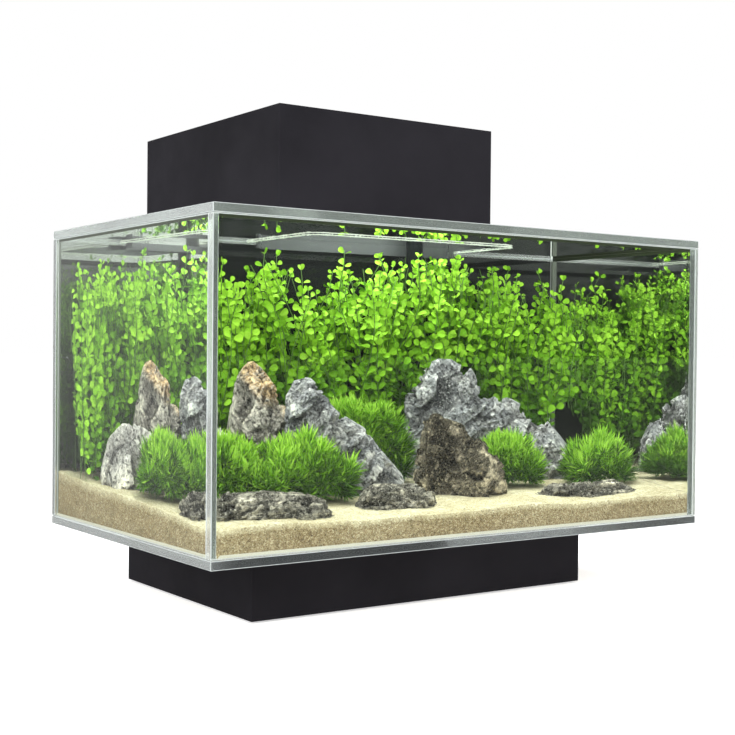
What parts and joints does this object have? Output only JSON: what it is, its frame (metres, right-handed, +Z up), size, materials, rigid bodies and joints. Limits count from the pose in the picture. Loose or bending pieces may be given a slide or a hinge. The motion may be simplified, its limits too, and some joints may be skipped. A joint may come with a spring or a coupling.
{
  "type": "aquarium on stand",
  "caption": "Planted frameless glass aquarium on a low pedestal base, with a rear column, a lift-off box hood, a lamp and a hang-on-back filter.",
  "frame": {"origin": "under the middle of the whole object's box, on the surface that its feet stand on", "axes": "+X along the tank's long front towards its right end, +Y from the front pane to the rear column, +Z up"},
  "size_m": [0.435, 0.342, 0.367],
  "materials": {
    "glass": "polished",
    "silicone": "satin",
    "satin_black": "satin",
    "inner_black": "matte",
    "rubber": "matte",
    "smoke_plastic": "gloss",
    "steel": "satin",
    "aluminium": "satin",
    "lamp_board": "satin",
    "diffuser": "satin",
    "ceramic": "matte",
    "filter_foam": "matte",
    "sand": "matte",
    "grey_stone": "matte",
    "tan_stone": "matte",
    "dark_stone": "matte",
    "stem_plant": "satin",
    "needle_plant": "satin"
  },
  "bodies": {
    "tank": {"glass_bottom": "glass", "glass_front": "glass", "glass_back": "glass", "glass_left": "glass", "glass_right": "glass", "glass_top": "glass", "silicone_seams": "silicone", "access_rim": "smoke_plastic", "background_panel": "inner_black", "base_shell": "satin_black", "base_plate": "inner_black", "base_screw_1": "steel", "base_screw_2": "steel", "base_screw_3": "steel", "base_screw_4": "steel", "foot_1": "rubber", "foot_2": "rubber", "foot_3": "rubber", "foot_4": "rubber", "support_mat": "rubber", "rear_column": "satin_black", "column_screw_1": "steel", "column_screw_2": "steel", "cable_grommet": "rubber", "hood_frame": "inner_black", "filter_body": "inner_black", "foam_block": "filter_foam", "ceramic_block": "ceramic", "pump_motor": "satin_black", "pump_shaft": "ceramic", "impeller_cover": "inner_black", "intake_tube": "smoke_plastic", "sand_bed": "sand", "slab_rock": "grey_stone", "tan_rock": "tan_stone", "back_rock": "grey_stone", "crag_rock": "dark_stone", "left_rock": "grey_stone", "middle_flat_stone": "dark_stone", "left_flat_stone": "dark_stone", "right_flat_stone": "dark_stone", "front_tufts": "needle_plant", "middle_tuft": "needle_plant", "rock_tuft": "needle_plant", "right_tuft": "needle_plant", "left_stem_plants": "stem_plant", "right_stem_plants": "stem_plant"},
    "hood": {"hood_shell": "satin_black", "switch_body": "inner_black", "lamp_housing": "aluminium", "lamp_board": "lamp_board", "lamp_diffuser": "diffuser", "lamp_strap_1": "steel", "lamp_strap_2": "steel"},
    "switch": {"switch_button": "inner_black"},
    "lid": {"filter_lid": "inner_black"},
    "lever": {"flow_lever": "satin_black"},
    "rotor": {"impeller": "smoke_plastic"},
    "intake": {"intake_extension": "smoke_plastic", "strainer": "inner_black"}
  },
  "joints": [
    {"name": "hood_lift", "type": "slide", "parent": "tank", "child": "hood", "axis": [0, 0, 1], "range_m": [0, 0.1]},
    {"name": "switch_press", "type": "slide", "parent": "hood", "child": "switch", "axis": [0, 0, -1], "range_m": [0, 0.0015], "stiffness_N_per_m": 400},
    {"name": "filter_lid_lift", "type": "slide", "parent": "tank", "child": "lid", "axis": [0, 0, 1], "range_m": [0, 0.04]},
    {"name": "flow_lever_turn", "type": "hinge", "parent": "tank", "child": "lever", "pos_m": [0.05, 0.088, 0.315], "axis": [0, 0, 1], "range_deg": [-90, 0]},
    {"name": "impeller_spin", "type": "hinge", "parent": "tank", "child": "rotor", "pos_m": [0.05, 0.117, 0.19], "axis": [0, 0, 1], "continuous": true},
    {"name": "intake_extend", "type": "slide", "parent": "tank", "child": "intake", "axis": [0, 0, -1], "range_m": [0, 0.025]}
  ]
}
